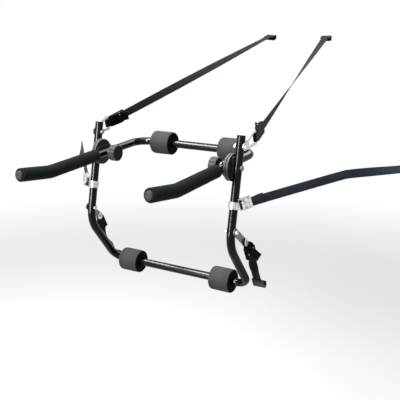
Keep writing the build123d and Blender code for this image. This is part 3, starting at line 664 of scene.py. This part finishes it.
skin_colour = (pressed_ring * 0.5).colours(skin_colour, rgb(0.03, 0.029, 0.03))
surface(pad_foam,
        Base_Color=cut_face.colours(skin_colour, rgb(0.0035, 0.0033, 0.0035)),
        Roughness=0.82 + lumps * 0.12,
        Normal=foam.relief(cells * 0.5 + turning * 0.5 + lumps * 0.4 - pressed_ring * 0.6, 0.0005, 0.55),
        Specular_IOR_Level=0.06)


def foam_recipe(name, material):
    """A foam roller or sleeve round a tube's line: rounded rims, and a slightly uneven skin."""
    recipe = Recipe(name, ["Radius", "Rim", "Bend", "Step", "Round Count", "Unevenness", "Lump",
                           "Crown"])
    given = recipe.given
    core = recipe.step("GeometryNodeMeshToCurve", {}, {0: given["Geometry"]})
    core = recipe.step("GeometryNodeFilletCurve", {"mode": "POLY"},
                       {"Curve": core, "Count": 24, "Radius": given["Bend"], "Limit Radius": True})
    core = recipe.step("GeometryNodeResampleCurve", {"mode": "LENGTH"},
                       {"Curve": core, "Length": given["Step"]})
    length = recipe.step("GeometryNodeSplineLength")
    travelled = recipe.step("GeometryNodeSplineParameter", output=1)

    def maths(operation, first, second=0.0):
        return recipe.step("ShaderNodeMath", {"operation": operation}, {0: first, 1: second})

    to_end = maths("SUBTRACT", length, travelled)
    near_end = maths("MINIMUM", travelled, to_end)
    into_rim = maths("SUBTRACT", 1.0, maths("MINIMUM", maths("DIVIDE", near_end, given["Rim"]), 1.0))
    rounding = maths("SQRT", maths("SUBTRACT", 1.0, maths("MULTIPLY", into_rim, into_rim)))
    rim_drop = maths("MULTIPLY", given["Rim"], maths("SUBTRACT", 1.0, rounding))
    middle = maths("MULTIPLY", maths("DIVIDE", near_end, length), 2.0)
    crown = maths("MULTIPLY", given["Crown"], maths("SINE", maths("MULTIPLY", middle, pi / 2)))
    radius = maths("ADD", maths("SUBTRACT", given["Radius"], rim_drop), crown)
    ring = recipe.step("GeometryNodeCurvePrimitiveCircle", {},
                       {"Resolution": given["Round Count"], "Radius": 1.0})
    core = recipe.step("GeometryNodeStoreNamedAttribute", {"data_type": "FLOAT", "domain": "POINT"},
                       {"Geometry": core, "Name": "from_end", "Value": near_end})
    skin = recipe.step("GeometryNodeCurveToMesh", {},
                       {"Curve": core, "Profile Curve": ring, "Scale": radius, "Fill Caps": True})
    lump = recipe.step("ShaderNodeTexNoise", {}, {"Scale": given["Lump"], "Detail": 2.0})
    swell = maths("MULTIPLY", maths("SUBTRACT", lump, 0.5), given["Unevenness"])
    outward = recipe.step("GeometryNodeInputNormal")
    push = recipe.step("ShaderNodeVectorMath", {"operation": "SCALE"}, {0: outward, "Scale": swell})
    skin = recipe.step("GeometryNodeSetPosition", {}, {"Geometry": skin, "Offset": push})
    recipe.end(skin, material)
    return recipe


foam_roller = foam_recipe("foam_roller", pad_foam)
pad_half = 0.035
roller_sizes = {"Radius": 0.0368, "Rim": 0.0038, "Bend": 0.0, "Step": 0.0007, "Round Count": 96,
                "Unevenness": 0.0007, "Lump": 45.0, "Crown": 0.0004}
# For each bar: its place, forward and up, the middles of its two pads, and the body it belongs to.
cross_bars = {"upper": ((0.10061, 0.38958), {"left": -0.117, "right": 0.137}, "arms"),
              "lower": ((0.0, 0.0), {"left": -0.181, "right": 0.167}, "rack")}
for bar_name, (height, middles, body) in cross_bars.items():
    for name, middle in middles.items():
        ends = [(middle - pad_half, *height), (middle + pad_half, *height)]
        core = guide_line("roller", ends)
        roller = foam_roller.plain_mesh(f"{bar_name}_roller_{name}", core, roller_sizes)
        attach(roller, body)
        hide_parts(f"{bar_name}_pad_{name}")

# Arm sleeves
# Each arm wears a sleeve of near-black foam tube, slid on over the bend, where the bicycle frames
# lie. It is soft and matt, a little uneven, and ends flush with the arm.
sleeve_foam, foam = new_material("black_sleeve_foam")
place = foam.object_place()
cells = foam.node("ShaderNodeTexVoronoi", {"feature": "F1"}, {"Vector": place, "Scale": 1500.0})
lumps = foam.noise(place, 38.0, 4.0)
shade_of_foam = lumps * 0.6 + cells * 0.4
surface(sleeve_foam,
        Base_Color=shade_of_foam.colours(rgb(0.0045, 0.0055, 0.0062), rgb(0.02, 0.0245, 0.027)),
        Roughness=0.7 + lumps * 0.2,
        Normal=foam.relief(cells * 0.6 + lumps * 0.6, 0.0004, 0.5),
        Specular_IOR_Level=0.08)
foam_sleeve = foam_recipe("foam_sleeve", sleeve_foam)
# How far out each arm lies, and its line, forward and up.
arm_out = 0.217
sleeve_points = [(-0.12989, 0.37427), (-0.33543, 0.36062), (-0.45274, 0.37336)]
sleeve_sizes = {"Radius": 0.01915, "Rim": 0.0034, "Bend": 0.12, "Step": 0.0015, "Round Count": 56,
                "Unevenness": 0.0008, "Lump": 26.0, "Crown": 0.0}
for name, side in sides.items():
    core = guide_line("sleeve", [(side * arm_out, *point) for point in sleeve_points])
    sleeve = foam_sleeve.plain_mesh(f"foam_sleeve_{name}", core, sleeve_sizes)
    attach(sleeve, "arms")
    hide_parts(f"arm_sleeve_{name}")

# End plugs and caps
# Polythene plugs pushed into the open tube ends: flat black caps on the uprights, and domed dark
# grey ones in the arms, with the fine sparkle of a spark-eroded mould.
plug_plastic, grain = new_material("dark_grey_plug")
place = grain.object_place()
sparkle = grain.noise(place, 2200.0, 2.0)
scuff = grain.noise(place, 130.0, 4.0)
surface(plug_plastic,
        Base_Color=(scuff * 0.7 + sparkle * 0.3).colours(rgb(0.018, 0.018, 0.02),
                                                         rgb(0.085, 0.085, 0.09)),
        Roughness=0.36 + sparkle * 0.1 + scuff * 0.08,
        Normal=grain.relief(sparkle, 0.0001, 0.25), Specular_IOR_Level=0.25)
dress(plug_plastic, "arm_end_plugs")

cap_plastic, grain = new_material("black_cap")
place = grain.object_place()
sparkle = grain.noise(place, 2200.0, 2.0)
scuff = grain.noise(place, 150.0, 3.0)
surface(cap_plastic,
        Base_Color=scuff.colours(rgb(0.003), rgb(0.008, 0.008, 0.009)),
        Roughness=0.4 + sparkle * 0.15,
        Normal=grain.relief(sparkle, 0.0002, 0.4), Specular_IOR_Level=0.15)
dress(cap_plastic, "upright_caps")

# Hub discs
# On each side two round discs of glass-filled nylon with radial teeth, one saddled on the upright
# and one on the arm. Their rims are smooth and painted light grey, a painted highlight, and their
# backs are grained.
hub_axle = (0.0, -0.0780, 0.37772)


def out_from_axle(grain, place):
    """How far a point lies from the axle that the arm frame folds on."""
    away = grain.node("ShaderNodeVectorMath", {"operation": "SUBTRACT"}, {0: place, 1: hub_axle})
    return grain.node("ShaderNodeVectorMath", {"operation": "LENGTH"},
                      {0: grain.stretched(away, (0.0, 1.0, 1.0))}, 1)


disc_nylon, grain = new_material("hub_nylon")
place = grain.object_place()
# The light grey band round each disc's rim is a painted highlight.
painted_rim_highlight = out_from_axle(grain, place).step(0.0386, 0.0394)
speckle = grain.noise(place, 1500.0, 3.0)
flow = grain.noise(place, 40.0, 3.0)
body_colour = (flow * 0.6 + speckle * 0.4).colours(rgb(0.006, 0.0065, 0.0075), rgb(0.026, 0.027, 0.03))
surface(disc_nylon,
        Base_Color=painted_rim_highlight.colours(body_colour, rgb(0.16, 0.158, 0.16)),
        Roughness=0.42 - painted_rim_highlight * 0.1 + speckle * 0.12,
        Normal=grain.relief(speckle * (1 - painted_rim_highlight * 0.7), 0.0003, 0.5), Specular_IOR_Level=0.2)
dress(disc_nylon, *both("outer_hub_disc", "inner_hub_disc"))

# Hand knobs
# A fluted nylon knob on each hub bolt, with a black face and a rim painted light grey, patchily,
# as a painted highlight.
# A zinc-plated hexagon is moulded into its boss as the nut.
knob_nylon, grain = new_material("knob_nylon")
place = grain.object_place()
# The rim band is a painted highlight: light grey, patchy where the mottle falls.
painted_rim_light = out_from_axle(grain, place).step(0.0215, 0.0242)
speckle = grain.noise(place, 1700.0, 3.0)
tone_and_light_mottle = grain.noise(place, 90.0, 4.0)
face_colour = (speckle * 0.5 + tone_and_light_mottle * 0.5).colours(rgb(0.002), rgb(0.006, 0.006, 0.007))
surface(knob_nylon,
        Base_Color=(painted_rim_light * (0.4 + tone_and_light_mottle * 0.6)).colours(face_colour, rgb(0.165, 0.162, 0.167)),
        Roughness=0.42 + speckle * 0.14,
        Normal=grain.relief(speckle, 0.0003, 0.4), Specular_IOR_Level=0.12)
dress(knob_nylon, *both("knob"))

# Bolts, nuts, washers and links
# Zinc-plated steel. Hex bolts and nuts, washers, the triangular top links, the eyelets and the side
# straps' folded buckles are bright. The lower link plates and the hubs' domed bolts are dull.
zinc_plate, plate = new_material("bright_zinc")
place = plate.object_place()
spangle = plate.node("ShaderNodeTexVoronoi", {"feature": "F1"}, {"Vector": place, "Scale": 420.0}, 1)
spangle = plate.node("ShaderNodeSeparateColor", {}, {0: spangle})
clouds = plate.noise(place, 55.0, 4.0)
scratches = plate.noise(plate.stretched(place, (300.0, 2200.0, 260.0)), 1.0, 2.0)
# Dark patches in the plating's colour are painted reflections of dark things round it.
painted_dark_reflections = plate.noise(place, 170.0, 2.0).step(0.36, 0.66)
brightness = spangle * 0.2 + clouds * 0.3 + scratches * 0.15 + painted_dark_reflections * 0.35
surface(zinc_plate,
        Base_Color=brightness.colours(rgb(0.17, 0.175, 0.18), rgb(0.97, 0.975, 0.98)),
        Metallic=1.0,
        Roughness=0.2 + clouds * 0.16 + scratches * 0.08,
        Normal=plate.relief(scratches * 0.5 + clouds * 0.5, 0.0004, 0.25))
dress(zinc_plate, "hub_washers", "strap_bolts", "strap_nuts",
      *both("knob_insert", "top_link", "lower_eyelet", "side_fitting", "side_lever"))

weathered_zinc, plate = new_material("weathered_zinc")
place = plate.object_place()
bloom = plate.noise(place, 240.0, 4.0)
turned = plate.noise(plate.stretched(place, (2200.0, 90.0, 90.0)), 1.0, 2.0)
surface(weathered_zinc,
        Base_Color=(bloom * 0.7 + turned * 0.3).colours(rgb(0.05, 0.05, 0.052), rgb(0.3, 0.3, 0.305)),
        Metallic=1.0,
        Roughness=0.34 + bloom * 0.2,
        Normal=plate.relief(turned * 0.5 + bloom * 0.5, 0.0003, 0.3))
dress(weathered_zinc, "hub_bolts", *both("lower_link"))

# Cam buckles
# Black nylon channels with a sprung cam lever that bites the webbing, on the top and lower straps.
# The side straps' buckles are folded from plated steel, in the section before.
buckle_nylon, grain = new_material("buckle_nylon")
place = grain.object_place()
speckle = grain.noise(place, 1800.0, 3.0)
flow = grain.noise(place, 70.0, 3.0)
surface(buckle_nylon,
        Base_Color=(flow * 0.7 + speckle * 0.3).colours(rgb(0.002), rgb(0.007, 0.007, 0.0085)),
        Roughness=0.4 + speckle * 0.18,
        Normal=grain.relief(speckle, 0.0003, 0.45), Specular_IOR_Level=0.05)
dress(buckle_nylon, *both("top_buckle", "lower_buckle", "top_lever", "lower_lever"))

# Pins and springs
# Each lever turns on a steel pin, with a coil spring of bright drawn wire beside the cam.
spring_wire, wire = new_material("spring_wire")
place = wire.object_place()
drawn = wire.noise(wire.stretched(place, (2400.0, 300.0, 300.0)), 1.0, 2.0)
surface(spring_wire,
        Base_Color=drawn.colours(rgb(0.42, 0.42, 0.43), rgb(0.7, 0.7, 0.71)),
        Metallic=1.0,
        Roughness=0.24 + drawn * 0.15,
        Normal=wire.relief(drawn, 0.0001, 0.4))
dress(spring_wire, *both("top_pin", "lower_pin", "side_pin"))

# Hooks
# Flat steel strip bent into a hook, dipped in soft vinyl so that it doesn't mark the paint: black
# on the top and side straps, grey-brown on the lower ones. The dip is thicker round the edges.
for finish, low, high, hooks in (
        ("black_dip", rgb(0.01, 0.01, 0.011), rgb(0.03, 0.03, 0.032), ("top_hook", "side_hook")),
        ("brown_dip", rgb(0.045, 0.036, 0.032), rgb(0.1, 0.085, 0.078), ("lower_hook",))):
    dip, skin = new_material(finish)
    place = skin.object_place()
    runs = skin.noise(place, 180.0, 3.0)
    pores = skin.noise(place, 1200.0, 2.0)
    surface(dip,
            Base_Color=(runs * 0.75 + pores * 0.25).colours(low, high),
            Roughness=0.4 + pores * 0.2 + runs * 0.1,
            Normal=skin.relief(runs * 0.7 + pores * 0.3, 0.0004, 0.5),
            Specular_IOR_Level=0.2)
    dress(dip, *both(*hooks))
